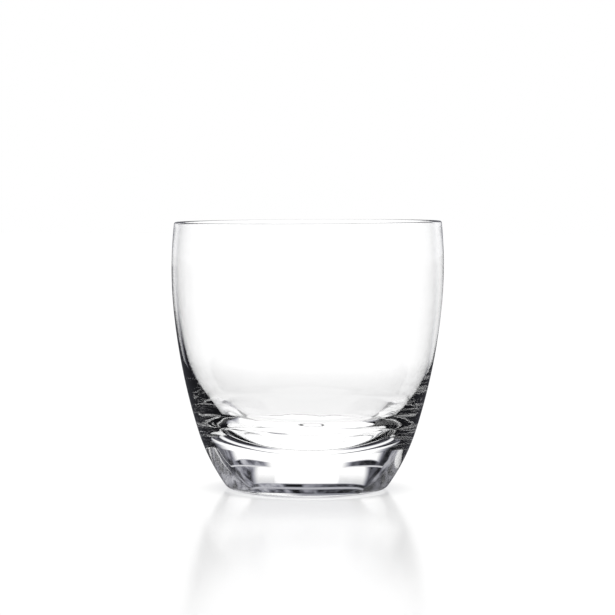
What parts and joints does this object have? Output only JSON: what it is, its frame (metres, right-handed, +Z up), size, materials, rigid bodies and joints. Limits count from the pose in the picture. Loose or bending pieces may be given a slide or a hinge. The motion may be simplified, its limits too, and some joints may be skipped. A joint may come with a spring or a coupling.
{
  "type": "whiskey tumbler",
  "caption": "Round-bellied clear glass tumbler with a thin rounded lip, a bowl-shaped cavity and a thick solid base standing on a flat ring.",
  "frame": {"origin": "centre of the standing ring, in the plane of the surface that the tumbler stands on", "axes": "+Z up along the tumbler's axis of revolution, from the foot to the rim; X and Y are equivalent, and -Y faces the viewer of the picture"},
  "size_m": [0.0908, 0.0908, 0.0893],
  "materials": {
    "glass": "fire-polished, clear and colourless, smooth all over"
  },
  "bodies": {
    "root": {"tumbler": "glass"}
  },
  "joints": []
}
